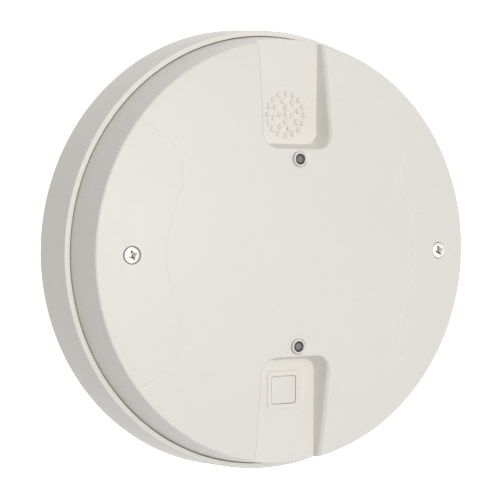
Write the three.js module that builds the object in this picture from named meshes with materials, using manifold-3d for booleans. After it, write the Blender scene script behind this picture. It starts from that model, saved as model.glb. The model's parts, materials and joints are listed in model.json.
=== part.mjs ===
// Round wall-mounted alarm siren, in millimetres, +Z up.
// The wall plane is y = 0 and the front faces -Y. The origin is the centre of the flat back.
// Three bodies come apart on the bench: the rear base with everything wired inside it, the front
// cover that lifts straight off, and the two captive screws that hold the cover.
import * as THREE from "three";
import { mergeVertices } from "three/addons/utils/BufferGeometryUtils.js";
import Module from "manifold-3d";

const wasm = await Module();
wasm.setup();

// Rear base
const BASE_RADIUS = 97; // at the wall
const RIM_RADIUS = 95; // at the front of the base
const RIM_DEPTH = 22.4; // wall plane to rim plane
const RIM_INNER_RADIUS = 92.7;
const BASE_INNER_RADIUS = 88.6;
const FLOOR_THICKNESS = 2.8;
const LEDGE_DEPTH = 17.3; // wall plane to the ledge that carries the gasket
const EDGE_BREAK = 0.6;

// Front cover. Heights are measured forwards from the rim plane.
const SKIRT_RADIUS = 92.3;
const SKIRT_DROP = 3.2; // how far the skirt reaches into the base
const FACE_RADIUS = 89.6;
const FACE_HEIGHT = 19; // at the face's edge
const FACE_CROWN = 8.8; // extra height of the dome at the centre
const COVER_WALL = 2.4;
const FACE_RINGS = [0, 22, 40, 56, 70, 82];
const INNER_RINGS = [0, 34, 62];

// The two channels that run from the rim towards the centre
const CHANNEL_FLOOR_HEIGHT = 14.1;
const CHANNEL_HALF_WIDTH = 15; // at the floor
const CHANNEL_TIP = 46; // from the centre, at the floor
const CHANNEL_CORNER = 5;
const CHANNEL_DRAFT = 0.1; // outwards per unit of height, along the sides
const CHANNEL_TIP_DRAFT = 0.2; // and at the tip
const CHANNEL_REACH = 120; // past the rim

// Sound window in the upper channel's floor: raised pips, each with a small hole through it
const WINDOW_CENTRE = 58.4;
const PIP_RINGS = [
  { radius: 0, count: 1, turn: 0 },
  { radius: 3.05, count: 4, turn: 0 },
  { radius: 6, count: 8, turn: 30 },
  { radius: 8.9, count: 16, turn: 0 },
];
const PIP_RADIUS = 1.1;
const PIP_TOP_RADIUS = 0.9;
const PIP_HEIGHT = 0.8;
const PIP_HOLE_RADIUS = 0.15;
const WINDOW_POCKET_RADIUS = 11.2; // thins the floor from behind
const WINDOW_FLOOR_THICKNESS = 1;
const MEMBRANE_THICKNESS = 0.4;

// Badge on the lower channel's floor
const BADGE_CENTRE = 59.1;
const BADGE_FRAME_WIDTH = 15.8;
const BADGE_FRAME_HEIGHT = 16.2;
const BADGE_FRAME_RISE = 0.35;
const BADGE_RECESS_DEPTH = 0.9;
const BADGE_GAP = 0.35; // round the plate
const BADGE_SIZE = 11.7;
const BADGE_THICKNESS = 0.8;

// Screws of the cover
const SCREW_X = 74.8;
const SCREW_HEAD_RADIUS = 3.6;
const SCREW_HEAD_THICKNESS = 2.4;
const SCREW_SHANK_RADIUS = 1.75;
const SCREW_RECESS_RADIUS = 3.9;
const SCREW_SEAT = 41.9; // wall plane to the seat of the head
const SCREW_END = 16.5;
const BOSS_RADIUS = 5;
const COVER_BOSS_END = 24.6;
const BASE_PILLAR_END = 23.4;
const SEAL_RADIUS = 4.2;

// Indicator lenses
const LENS_Z = 39.4;
const LENS_RADIUS = 2.1;
const LENS_FLANGE_RADIUS = 2.7;
const COLLAR_RADIUS = 3.1;
const COLLAR_HEIGHT = 0.8;
const LENS_SLEEVE = 3.2; // how far the collar runs on behind the face

// Circuit board and what stands on it
const BOARD_HALF_WIDTH = 31;
const BOARD_TOP = 43;
const BOARD_BOTTOM = -45;
const BOARD_BACK = 7.2; // wall plane to the board's back
const BOARD_THICKNESS = 1.6;
const BOARD_FRONT = BOARD_BACK + BOARD_THICKNESS;
const BOARD_SCREWS = [
  [-27.5, 39.5],
  [27.5, 39.5],
  [-27.5, -41.5],
  [27.5, -41.5],
];
const GAP = 0.2; // between pieces that rest on each other

// Battery holders, one on each side of the board, two cells in each
const HOLDER_X = 51.5;
const HOLDER_WIDTH = 33;
const HOLDER_LENGTH = 60;
const HOLDER_WALL = 1.5;
const HOLDER_DEPTH = 12;
const CELL_RADIUS = 7.1;
const CELL_LENGTH = 49.5;
const CELL_OFFSET = 7.4;
const CELL_DEPTH = 11.9; // wall plane to the cell's axis

// Sounder
const SOUNDER_RADIUS = 14.6;
const SOUNDER_FRONT = 29.8;

// Switches
const TAMPER = [22, 33];
const LEARN = [-22, 33];
const TAMPER_TIP = 20.2;

// Wall fixings and cable entry
const KEYHOLES = [
  [-50, 50],
  [50, 50],
  [-44, -60],
  [44, -60],
];
const KEYHOLE_RADIUS = 4;
const KEYHOLE_SLOT_RADIUS = 2.4;
const KEYHOLE_SLOT_LENGTH = 7;
const CABLE_Z = -62;
const CABLE_HOLE_RADIUS = 8;
const CABLE_FLANGE_RADIUS = 10;

const ROUND = 48; // segments round the casing
const MERGE_DISTANCE = 1e-4;

// ---------- materials ----------

function material(color, roughness, metalness = 0) {
  return new THREE.MeshStandardMaterial({ color, roughness, metalness });
}

const WHITE_PLASTIC = material(0xe7e4dc, 0.45);
const GREY_LENS = material(0x4a4848, 0.2);
const RUBBER = material(0x3a3a3c, 0.8);
const FOAM = material(0x55565a, 0.95);
const BRIGHT_STEEL = material(0xc9cacb, 0.3, 1);
const BRASS = material(0xc8a24a, 0.35, 1);
const BOARD_GREEN = material(0x1f6b45, 0.5);
const BLACK_PLASTIC = material(0x1d1e20, 0.5);
const CELL_WRAP = material(0x2f6fae, 0.4);
const CAP_SLEEVE = material(0x26324a, 0.4);
const TERMINAL_GREEN = material(0x3b8f5a, 0.5);
const RED_LEAD = material(0xb3261e, 0.5);
const BLACK_LEAD = material(0x222224, 0.5);
const CLEAR_RED = material(0xb04040, 0.2);

// ---------- geometry helpers ----------

// Triangles of a geometry with shared vertices merged and collapsed faces dropped.
function triangles(geometry) {
  geometry.deleteAttribute("normal");
  geometry.deleteAttribute("uv");
  const merged = mergeVertices(geometry, MERGE_DISTANCE);
  const from = merged.index.array;
  const kept = [];
  for (let i = 0; i < from.length; i += 3) {
    const [a, b, c] = [from[i], from[i + 1], from[i + 2]];
    if (a !== b && b !== c && a !== c) kept.push(a, b, c);
  }
  return { vertices: merged.attributes.position.array, kept };
}

// Six times the volume inside a closed set of triangles, negative if it is inside out.
function signedVolume(vertices, kept) {
  const at = (i) => new THREE.Vector3().fromArray(vertices, 3 * i);
  let sum = 0;
  for (let i = 0; i < kept.length; i += 3) {
    sum += at(kept[i]).dot(at(kept[i + 1]).cross(at(kept[i + 2])));
  }
  return sum;
}

// A closed geometry as a solid that can be joined and cut.
function solid(geometry) {
  const { vertices, kept } = triangles(geometry);
  if (signedVolume(vertices, kept) < 0) kept.reverse();
  const mesh = new wasm.Mesh({
    numProp: 3,
    vertProperties: vertices,
    triVerts: new Uint32Array(kept),
  });
  return new wasm.Manifold(mesh);
}

function joined(shapes) {
  return shapes.reduce((sum, shape) => sum.add(shape));
}

function cutBy(body, shapes) {
  return shapes.reduce((left, shape) => left.subtract(shape), body);
}

// A named mesh from a solid.
function piece(name, body, look) {
  const mesh = body.getMesh();
  const geometry = new THREE.BufferGeometry();
  geometry.setAttribute("position", new THREE.BufferAttribute(mesh.vertProperties, 3));
  geometry.setIndex(new THREE.BufferAttribute(mesh.triVerts, 1));
  geometry.computeVertexNormals();
  const made = new THREE.Mesh(geometry, look);
  made.name = name;
  return made;
}

// A round solid about an axis parallel to Y. The profile is a closed list of [radius, depth],
// where depth is the distance in front of the wall plane.
function turned(profile, x = 0, z = 0, segments = ROUND) {
  const points = profile.map(([radius, depth]) => new THREE.Vector2(radius, -depth));
  const geometry = new THREE.LatheGeometry([...points, points[0].clone()], segments);
  geometry.translate(x, 0, z);
  return solid(geometry);
}

function rod(radius, fromDepth, toDepth, x = 0, z = 0, segments = 20, endRadius = radius) {
  const length = toDepth - fromDepth;
  const geometry = new THREE.CylinderGeometry(radius, endRadius, length, segments);
  geometry.translate(x, -(fromDepth + toDepth) / 2, z);
  return solid(geometry);
}

function block(width, height, fromDepth, toDepth, x = 0, z = 0) {
  const geometry = new THREE.BoxGeometry(width, toDepth - fromDepth, height);
  geometry.translate(x, -(fromDepth + toDepth) / 2, z);
  return solid(geometry);
}

// A flat outline drawn in x and z, extruded forwards from one depth to another.
function slab(shape, fromDepth, toDepth, curveSegments = 6) {
  const options = { depth: toDepth - fromDepth, bevelEnabled: false, curveSegments };
  const geometry = new THREE.ExtrudeGeometry(shape, options);
  geometry.rotateX(Math.PI / 2);
  geometry.translate(0, -fromDepth, 0);
  return solid(geometry);
}

function roundedRectangle(width, height, radius, x = 0, z = 0) {
  const [right, top] = [x + width / 2 - radius, z + height / 2 - radius];
  const [left, bottom] = [x - width / 2 + radius, z - height / 2 + radius];
  const shape = new THREE.Shape();
  shape.absarc(right, bottom, radius, -Math.PI / 2, 0, false);
  shape.absarc(right, top, radius, 0, Math.PI / 2, false);
  shape.absarc(left, top, radius, Math.PI / 2, Math.PI, false);
  shape.absarc(left, bottom, radius, Math.PI, 1.5 * Math.PI, false);
  shape.closePath();
  return shape;
}

// A solid between two outlines of as many points each, at two depths.
function loft(outlineA, depthA, outlineB, depthB) {
  const count = outlineA.length;
  const positions = [];
  for (const [outline, depth] of [[outlineA, depthA], [outlineB, depthB]]) {
    for (const point of outline) positions.push(point.x, -depth, point.y);
  }
  const index = [];
  for (let i = 0; i < count; i++) {
    const next = (i + 1) % count;
    index.push(i, next, count + next, i, count + next, count + i);
  }
  const capA = THREE.ShapeUtils.triangulateShape(outlineA, []);
  const capB = THREE.ShapeUtils.triangulateShape(outlineB, []);
  for (const [a, b, c] of capA) index.push(a, c, b);
  for (const [a, b, c] of capB) index.push(count + a, count + b, count + c);
  const geometry = new THREE.BufferGeometry();
  geometry.setAttribute("position", new THREE.Float32BufferAttribute(positions, 3));
  geometry.setIndex(index);
  return solid(geometry);
}

// A wire along a smooth route of [x, depth, z] points.
function wire(route, radius, steps, sides = 8) {
  const points = route.map(([x, depth, z]) => new THREE.Vector3(x, -depth, z));
  const section = new THREE.Shape();
  section.absarc(0, 0, radius, 0, 2 * Math.PI, false);
  const geometry = new THREE.ExtrudeGeometry(section, {
    steps,
    curveSegments: sides,
    extrudePath: new THREE.CatmullRomCurve3(points),
  });
  return solid(geometry);
}

// ---------- cover ----------

// Height of the domed face above the rim plane at a radius.
function domeHeight(radius) {
  return FACE_HEIGHT + FACE_CROWN * (1 - (radius / FACE_RADIUS) ** 2);
}

// Depth of the middle of the domed wall at a radius, where what is moulded onto it starts.
function wallMiddle(radius) {
  return RIM_DEPTH + domeHeight(radius) - COVER_WALL / 2;
}

// The cover without its channels: solid, and smaller by the wall's thickness for the inside.
function coverPuck(inset, rings) {
  const edge = FACE_RADIUS - inset;
  const depthOf = (height) => RIM_DEPTH + height;
  const profile = rings
    .filter((radius) => radius < edge - 1)
    .map((radius) => [radius, depthOf(domeHeight(radius) - inset)]);
  profile.push([edge - EDGE_BREAK, depthOf(FACE_HEIGHT - inset)]);
  profile.push([edge, depthOf(FACE_HEIGHT - inset - EDGE_BREAK)]);
  profile.push([SKIRT_RADIUS - inset, RIM_DEPTH]);
  profile.push([SKIRT_RADIUS - inset, RIM_DEPTH - SKIRT_DROP - inset]);
  profile.push([0, RIM_DEPTH - SKIRT_DROP - inset]);
  return turned(profile);
}

// Outline of a channel at a height, wider by an inset for the wall behind it.
function channelOutline(height, inset) {
  const rise = height - CHANNEL_FLOOR_HEIGHT;
  const half = CHANNEL_HALF_WIDTH + rise * CHANNEL_DRAFT + inset;
  const tip = CHANNEL_TIP - rise * CHANNEL_TIP_DRAFT - inset;
  const corner = CHANNEL_CORNER + inset;
  const path = new THREE.Path();
  path.moveTo(half, CHANNEL_REACH);
  path.lineTo(-half, CHANNEL_REACH);
  path.lineTo(-half, tip + corner);
  path.absarc(-half + corner, tip + corner, corner, Math.PI, 1.5 * Math.PI, false);
  path.absarc(half - corner, tip + corner, corner, 1.5 * Math.PI, 2 * Math.PI, false);
  path.closePath();
  const points = path.getPoints(5);
  return points.filter((point, i) => i === 0 || point.distanceTo(points[i - 1]) > 1e-6).slice(0, -1);
}

// What a channel removes: inset 0 for the outside, the wall's thickness for the inside.
function channelCutter(inset) {
  const [low, high] = [CHANNEL_FLOOR_HEIGHT - inset, CHANNEL_FLOOR_HEIGHT + 20];
  const lowOutline = channelOutline(low, inset);
  const highOutline = channelOutline(high, inset);
  const upper = loft(lowOutline, RIM_DEPTH + low, highOutline, RIM_DEPTH + high);
  return upper.add(upper.rotate([0, 180, 0]));
}

function coverShell() {
  const outside = coverPuck(0, FACE_RINGS).subtract(channelCutter(0));
  const inside = coverPuck(COVER_WALL, INNER_RINGS).subtract(channelCutter(COVER_WALL));
  return outside.subtract(inside);
}

// A rod at each place of the sound window.
function atEachPip(makeRod) {
  const made = [];
  for (const { radius, count, turn } of PIP_RINGS) {
    for (let i = 0; i < count; i++) {
      const angle = THREE.MathUtils.degToRad(turn + (360 * i) / count);
      const x = radius * Math.sin(angle);
      const z = WINDOW_CENTRE + radius * Math.cos(angle);
      made.push(makeRod(x, z));
    }
  }
  return made;
}

function pips() {
  const floor = RIM_DEPTH + CHANNEL_FLOOR_HEIGHT;
  const [start, end] = [floor - 0.4, floor + PIP_HEIGHT];
  return atEachPip((x, z) => rod(PIP_RADIUS, start, end, x, z, 8, PIP_TOP_RADIUS));
}

// The holes through the pips, and the pocket behind them.
function windowCuts() {
  const floor = RIM_DEPTH + CHANNEL_FLOOR_HEIGHT;
  const back = floor - WINDOW_FLOOR_THICKNESS;
  const holes = atEachPip((x, z) => rod(PIP_HOLE_RADIUS, back - 1, floor + 2, x, z, 6));
  return [...holes, rod(WINDOW_POCKET_RADIUS, back - 3, back, 0, WINDOW_CENTRE, 28)];
}

// Water-tight membrane behind the holes.
function windowMembrane() {
  const front = RIM_DEPTH + CHANNEL_FLOOR_HEIGHT - WINDOW_FLOOR_THICKNESS - GAP;
  const radius = WINDOW_POCKET_RADIUS - GAP;
  const disc = rod(radius, front - MEMBRANE_THICKNESS, front, 0, WINDOW_CENTRE, 28);
  return piece("window_membrane", disc, WHITE_PLASTIC);
}

// Depths of the front of a lens collar, and of the end of the sleeve behind the face.
function lensPlace() {
  const face = RIM_DEPTH + domeHeight(LENS_Z);
  const sleeveEnd = face - COVER_WALL - LENS_SLEEVE;
  return { collarTop: face + COLLAR_HEIGHT, sleeveEnd };
}

// The low frame round the badge plate.
function badgeFrame() {
  const floor = RIM_DEPTH + CHANNEL_FLOOR_HEIGHT;
  const outline = roundedRectangle(BADGE_FRAME_WIDTH, BADGE_FRAME_HEIGHT, 1.5, 0, -BADGE_CENTRE);
  return slab(outline, floor - 0.4, floor + BADGE_FRAME_RISE, 4);
}

// The recess inside the frame, which the badge plate sits in.
function badgeRecess() {
  const floor = RIM_DEPTH + CHANNEL_FLOOR_HEIGHT;
  const side = BADGE_SIZE + 2 * BADGE_GAP;
  const outline = roundedRectangle(side, side, 1 + BADGE_GAP, 0, -BADGE_CENTRE);
  return slab(outline, floor - BADGE_RECESS_DEPTH, floor + 2, 4);
}

function frontCover() {
  const added = [];
  const removed = [];
  for (const side of [-1, 1]) {
    added.push(rod(BOSS_RADIUS, COVER_BOSS_END, wallMiddle(SCREW_X), side * SCREW_X, 0, 24));
    removed.push(rod(2.1, COVER_BOSS_END - 1, SCREW_SEAT + 5, side * SCREW_X, 0, 16));
    removed.push(rod(SCREW_RECESS_RADIUS, SCREW_SEAT, SCREW_SEAT + 5, side * SCREW_X, 0, 28));
    const { collarTop, sleeveEnd } = lensPlace();
    added.push(rod(COLLAR_RADIUS, sleeveEnd, collarTop, 0, side * LENS_Z, 24));
    removed.push(rod(LENS_RADIUS + GAP, sleeveEnd - 1, collarTop + 1, 0, side * LENS_Z, 20));
  }
  const [tamperX, tamperZ] = TAMPER;
  const post = wallMiddle(Math.hypot(tamperX, tamperZ));
  added.push(rod(3, TAMPER_TIP + 0.3, post, tamperX, tamperZ, 16));
  removed.push(badgeRecess(), ...windowCuts());
  const shell = joined([coverShell(), badgeFrame(), ...added, ...pips()]);
  return piece("front_cover", cutBy(shell, removed), WHITE_PLASTIC);
}

function badgePlate() {
  const back = RIM_DEPTH + CHANNEL_FLOOR_HEIGHT - BADGE_RECESS_DEPTH + GAP;
  const shape = roundedRectangle(BADGE_SIZE, BADGE_SIZE, 1, 0, -BADGE_CENTRE);
  return piece("badge_plate", slab(shape, back, back + BADGE_THICKNESS, 4), WHITE_PLASTIC);
}

// A lens is a light pipe: a long rod with a flange that stops it against the sleeve.
function lens(name, side) {
  const z = side * LENS_Z;
  const { collarTop, sleeveEnd } = lensPlace();
  const pipe = rod(LENS_RADIUS, 13.2, collarTop - 0.3, 0, z, 20);
  const flange = rod(LENS_FLANGE_RADIUS, sleeveEnd - GAP - 1, sleeveEnd - GAP, 0, z, 20);
  return piece(name, pipe.add(flange), GREY_LENS);
}

// ---------- cover screws ----------

function crossRecess(x, front) {
  const arm = (width, length) => block(width, length, front - 1.4, front + 1, x, 0);
  return [arm(0.9, 4.2), arm(4.2, 0.9)];
}

function coverScrew(name, side) {
  const x = side * SCREW_X;
  const seat = SCREW_SEAT + GAP;
  const front = seat + SCREW_HEAD_THICKNESS;
  const head = turned(
    [
      [0, seat],
      [SCREW_HEAD_RADIUS, seat],
      [SCREW_HEAD_RADIUS, front - 0.6],
      [SCREW_HEAD_RADIUS - 0.6, front - 0.2],
      [SCREW_HEAD_RADIUS - 1.8, front],
      [0, front],
    ],
    x,
    0,
    28,
  );
  const shank = rod(SCREW_SHANK_RADIUS, SCREW_END, seat + 0.5, x, 0, 16);
  return piece(name, cutBy(head.add(shank), crossRecess(x, front)), BRIGHT_STEEL);
}

function screwSeal(name, side) {
  const [back, front] = [BASE_PILLAR_END + GAP, COVER_BOSS_END - GAP];
  const profile = [
    [1.95, back],
    [SEAL_RADIUS, back],
    [SEAL_RADIUS, front],
    [1.95, front],
  ];
  return piece(name, turned(profile, side * SCREW_X, 0, 20), RUBBER);
}

// ---------- base ----------

function baseShell() {
  return turned([
    [0, 0],
    [BASE_RADIUS - EDGE_BREAK, 0],
    [BASE_RADIUS, EDGE_BREAK],
    [RIM_RADIUS, RIM_DEPTH - EDGE_BREAK],
    [RIM_RADIUS - EDGE_BREAK, RIM_DEPTH],
    [RIM_INNER_RADIUS + EDGE_BREAK / 2, RIM_DEPTH],
    [RIM_INNER_RADIUS, RIM_DEPTH - EDGE_BREAK / 2],
    [RIM_INNER_RADIUS, LEDGE_DEPTH],
    [BASE_INNER_RADIUS, LEDGE_DEPTH],
    [BASE_INNER_RADIUS, FLOOR_THICKNESS],
    [0, FLOOR_THICKNESS],
  ]);
}

// A keyhole: a round hole for the screw's head, and a slot above it for its shank.
function keyhole([x, z]) {
  const slotTop = z + KEYHOLE_SLOT_LENGTH;
  return joined([
    rod(KEYHOLE_RADIUS, -1, FLOOR_THICKNESS + 1, x, z, 20),
    block(2 * KEYHOLE_SLOT_RADIUS, KEYHOLE_SLOT_LENGTH, -1, FLOOR_THICKNESS + 1, x, (z + slotTop) / 2),
    rod(KEYHOLE_SLOT_RADIUS, -1, FLOOR_THICKNESS + 1, x, slotTop, 12),
  ]);
}

// The shallow pockets moulded into the back, with ribs and pads left between them.
function backPockets() {
  const [innerRadius, outerRadius, depth] = [34, 90, 1.2];
  const ring = turned([
    [innerRadius, -1],
    [outerRadius, -1],
    [outerRadius, depth],
    [innerRadius, depth],
  ]);
  const ribs = [];
  for (let i = 0; i < 4; i++) {
    const rib = block(3, 2 * outerRadius + 2, -2, depth + 1);
    ribs.push(rib.rotate([0, 22.5 + 45 * i, 0]));
  }
  const pads = KEYHOLES.map(([x, z]) => rod(10, -2, depth + 1, x, z + 3, 16));
  pads.push(rod(CABLE_FLANGE_RADIUS + 3, -2, depth + 1, 0, CABLE_Z, 20));
  return cutBy(ring, [...ribs, ...pads]);
}

function rearBase() {
  const floor = FLOOR_THICKNESS - 0.5; // pieces on the floor start inside it
  const added = [];
  const removed = [backPockets(), ...KEYHOLES.map(keyhole)];
  for (const side of [-1, 1]) {
    added.push(rod(BOSS_RADIUS, floor, BASE_PILLAR_END, side * SCREW_X, 0, 24));
    removed.push(rod(1.95, SCREW_END - 1, BASE_PILLAR_END + 1, side * SCREW_X, 0, 16));
  }
  for (const [x, z] of BOARD_SCREWS) {
    added.push(rod(3.4, floor, BOARD_BACK - GAP, x, z, 16));
    removed.push(rod(1.4, FLOOR_THICKNESS + 1, BOARD_BACK + 1, x, z, 10));
  }
  const [seatInner, seatOuter] = [SOUNDER_RADIUS + 0.4, SOUNDER_RADIUS + 2.2];
  added.push(
    turned(
      [
        [seatInner, floor],
        [seatOuter, floor],
        [seatOuter, 5.8],
        [seatInner, 5.8],
      ],
      0,
      WINDOW_CENTRE,
      32,
    ),
  );
  removed.push(rod(CABLE_HOLE_RADIUS, -1, FLOOR_THICKNESS + 1, 0, CABLE_Z, 28));
  removed.push(rod(CABLE_FLANGE_RADIUS + 0.3, -1, 1.2, 0, CABLE_Z, 28));
  return piece("rear_base", cutBy(joined([baseShell(), ...added]), removed), WHITE_PLASTIC);
}

function coverGasket() {
  const profile = [
    [89.4, LEDGE_DEPTH + GAP],
    [91.6, LEDGE_DEPTH + GAP],
    [91.6, RIM_DEPTH - SKIRT_DROP - GAP],
    [89.4, RIM_DEPTH - SKIRT_DROP - GAP],
  ];
  return piece("cover_gasket", turned(profile), RUBBER);
}

function cableGrommet() {
  const neck = CABLE_HOLE_RADIUS - 0.3;
  const profile = [
    [4, 0.1],
    [CABLE_FLANGE_RADIUS, 0.1],
    [CABLE_FLANGE_RADIUS, 0.9],
    [neck, 0.9],
    [neck, FLOOR_THICKNESS + 0.3],
    [CABLE_FLANGE_RADIUS, FLOOR_THICKNESS + 0.3],
    [CABLE_FLANGE_RADIUS - 1, FLOOR_THICKNESS + 2],
    [5.5, FLOOR_THICKNESS + 3],
    [4, FLOOR_THICKNESS + 3],
  ];
  return piece("cable_grommet", turned(profile, 0, CABLE_Z, 20), RUBBER);
}

// ---------- board ----------

function mainBoard() {
  const height = BOARD_TOP - BOARD_BOTTOM;
  const shape = roundedRectangle(2 * BOARD_HALF_WIDTH, height, 3, 0, (BOARD_TOP + BOARD_BOTTOM) / 2);
  const board = slab(shape, BOARD_BACK, BOARD_FRONT, 4);
  const holes = BOARD_SCREWS.map(([x, z]) => rod(1.6, BOARD_BACK - 1, BOARD_FRONT + 1, x, z, 12));
  return piece("main_board", cutBy(board, holes), BOARD_GREEN);
}

function boardScrew(name, [x, z]) {
  const seat = BOARD_FRONT + GAP;
  const head = rod(2.7, seat, seat + 1.7, x, z, 16, 2.1);
  const shank = rod(1.15, 4.2, seat + 0.3, x, z, 10);
  const cross = [
    block(0.6, 2.6, seat + 0.9, seat + 3, x, z),
    block(2.6, 0.6, seat + 0.9, seat + 3, x, z),
  ];
  return piece(name, cutBy(head.add(shank), cross), BRIGHT_STEEL);
}

// Something that stands on the board, from its front face outwards.
function onBoard(width, height, thickness, x, z) {
  return block(width, height, BOARD_FRONT + GAP, BOARD_FRONT + GAP + thickness, x, z);
}

function rodOnBoard(radius, thickness, x, z, segments = 20) {
  return rod(radius, BOARD_FRONT + GAP, BOARD_FRONT + GAP + thickness, x, z, segments);
}

function radioModule() {
  const carrier = onBoard(15, 22, 1, 16, 8);
  const shield = onBoard(12.5, 13, 3, 16, 5);
  return piece("radio_module", carrier.add(shield), BRIGHT_STEEL);
}

function radioAntenna() {
  const route = [
    [16, 10.4, 21.5],
    [16, 13, 23],
    [15.5, 15, 26],
    [10, 15.4, 28.5],
    [0, 15.4, 29.5],
    [-12, 15.4, 28.5],
  ];
  return piece("radio_antenna", wire(route, 0.6, 16, 4), BRASS);
}

function capacitor(name, radius, height, x, z) {
  const top = BOARD_FRONT + GAP + height;
  const can = rodOnBoard(radius, height, x, z, 24);
  const score = [
    block(0.5, 1.4 * radius, top - 0.4, top + 1, x, z),
    block(1.4 * radius, 0.5, top - 0.4, top + 1, x, z),
  ];
  return piece(name, cutBy(can, score), CAP_SLEEVE);
}

function boostTransformer() {
  const [x, z] = [-16, -20];
  const core = onBoard(15, 6.5, 11, x, z);
  const bobbin = onBoard(11, 13, 9, x, z);
  const foot = onBoard(13, 15, 1.6, x, z);
  return piece("boost_transformer", joined([core, bobbin, foot]), BLACK_PLASTIC);
}

function terminalBlock() {
  const [x, z, ways, pitch] = [-13.5, -37, 4, 4.5];
  const body = onBoard(ways * pitch, 8, 9, x, z);
  const top = BOARD_FRONT + GAP + 9;
  const cuts = [];
  for (let i = 0; i < ways; i++) {
    const wayX = x + (i - (ways - 1) / 2) * pitch;
    cuts.push(rod(1.6, top - 2.5, top + 1, wayX, z + 1.4, 12));
    cuts.push(block(3, 3, top - 6.5, top - 3.5, wayX, z - 3.5));
  }
  return piece("terminal_block", cutBy(body, cuts), TERMINAL_GREEN);
}

function indicatorLed(name, side) {
  const base = onBoard(3.6, 3.6, 1.2, 0, side * LENS_Z);
  return piece(name, base.add(rodOnBoard(1.4, 2.6, 0, side * LENS_Z, 14)), CLEAR_RED);
}

// ---------- switches ----------

function learnButton() {
  const [x, z] = LEARN;
  const face = BOARD_FRONT + GAP + 3.5;
  const housing = onBoard(6, 6, 3.5, x, z).subtract(rod(2, face - 1.9, face + 1, x, z, 16));
  const cap = rod(1.7, face - 1.3, face + 1.6, x, z, 16);
  return [
    piece("learn_button_case", housing, BLACK_PLASTIC),
    piece("learn_button_cap", cap, WHITE_PLASTIC),
  ];
}

function tamperSwitch() {
  const [x, z] = TAMPER;
  const face = BOARD_FRONT + GAP + 5;
  const housing = onBoard(8, 8, 5, x, z).subtract(rod(1.8, face - 4, face + 1, x, z, 16));
  const stem = rod(1.4, face - 1.8, TAMPER_TIP - 1, x, z, 16);
  const cap = rod(2.7, TAMPER_TIP - 1.6, TAMPER_TIP, x, z, 20, 2.3);
  return [
    piece("tamper_switch_case", housing, BLACK_PLASTIC),
    piece("tamper_plunger", stem.add(cap), WHITE_PLASTIC),
    tamperSpring(x, z, face + 0.5, TAMPER_TIP - 2.1),
  ];
}

class Coil extends THREE.Curve {
  constructor(radius, turns, start, end, x, z) {
    super();
    Object.assign(this, { radius, turns, start, end, x, z });
  }

  getPoint(t) {
    const angle = 2 * Math.PI * this.turns * t;
    const depth = this.start + (this.end - this.start) * t;
    const [dx, dz] = [Math.cos(angle) * this.radius, Math.sin(angle) * this.radius];
    return new THREE.Vector3(this.x + dx, -depth, this.z + dz);
  }
}

function tamperSpring(x, z, start, end) {
  const section = new THREE.Shape();
  section.absarc(0, 0, 0.22, 0, 2 * Math.PI, false);
  const geometry = new THREE.ExtrudeGeometry(section, {
    steps: 36,
    curveSegments: 3,
    extrudePath: new Coil(2.1, 4, start, end, x, z),
  });
  return piece("tamper_spring", solid(geometry), BRIGHT_STEEL);
}

// ---------- batteries ----------

function batteryHolder(name, side) {
  const x = side * HOLDER_X;
  const back = FLOOR_THICKNESS + GAP;
  const outer = block(HOLDER_WIDTH, HOLDER_LENGTH, back, back + HOLDER_DEPTH, x, 0);
  const [width, length] = [HOLDER_WIDTH - 2 * HOLDER_WALL, HOLDER_LENGTH - 2 * HOLDER_WALL];
  const well = block(width, length, back + HOLDER_WALL, back + HOLDER_DEPTH + 1, x, 0);
  const notches = [-1, 1].map((end) => block(9, 8, 10, 20, x, end * (HOLDER_LENGTH / 2)));
  return piece(name, cutBy(outer, [well, ...notches]), BLACK_PLASTIC);
}

// A cell along Z: the wrapped can with its raised contact at the end that up names.
function cell(name, x, up) {
  const can = new THREE.CylinderGeometry(CELL_RADIUS, CELL_RADIUS, CELL_LENGTH, 24);
  const contact = new THREE.CylinderGeometry(2.7, 2.7, 2, 14);
  contact.translate(0, up * (CELL_LENGTH / 2), 0);
  const both = [can, contact].map((geometry) => {
    geometry.rotateX(Math.PI / 2);
    geometry.translate(x, -CELL_DEPTH, 0);
    return solid(geometry);
  });
  return piece(name, joined(both), CELL_WRAP);
}

// A spring-steel strip at one end of a holder that bridges its two cells.
function contactStrip(name, side, end) {
  const face = HOLDER_LENGTH / 2 - HOLDER_WALL;
  const z = end * (face - 0.6);
  const strip = block(26, 0.5, CELL_DEPTH - 5, CELL_DEPTH + 4, side * HOLDER_X, z);
  const studs = [-1, 1].map((offset) => {
    const geometry = new THREE.CylinderGeometry(3, 3, 1.6, 14);
    geometry.rotateX(Math.PI / 2);
    const x = side * HOLDER_X + offset * CELL_OFFSET;
    geometry.translate(x, -CELL_DEPTH, end * (face - 1.4));
    return solid(geometry);
  });
  return piece(name, joined([strip, ...studs]), BRIGHT_STEEL);
}

// A lead from the end of a holder over its wall and down to the board.
function batteryLead(name, side, end, look) {
  const route = [
    [44, 16.9, 27.9],
    [40.5, 18.4, 26.6],
    [34.5, 18, 23],
    [30, 14.5, 19.5],
    [28.3, 9.9, 18.5],
  ].map(([x, depth, z]) => [side * x, depth, end * z]);
  return piece(name, wire(route, 0.65, 10, 4), look);
}

// ---------- sounder ----------

function sounderCase() {
  const back = FLOOR_THICKNESS + GAP;
  const profile = [
    [0, back],
    [SOUNDER_RADIUS, back],
    [SOUNDER_RADIUS, SOUNDER_FRONT],
    [13, SOUNDER_FRONT],
    [13, SOUNDER_FRONT - 2.6],
    [11.4, SOUNDER_FRONT - 2.6],
    [11.4, back + 1.6],
    [0, back + 1.6],
  ];
  return piece("sounder_case", turned(profile, 0, WINDOW_CENTRE, 32), BLACK_PLASTIC);
}

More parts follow.
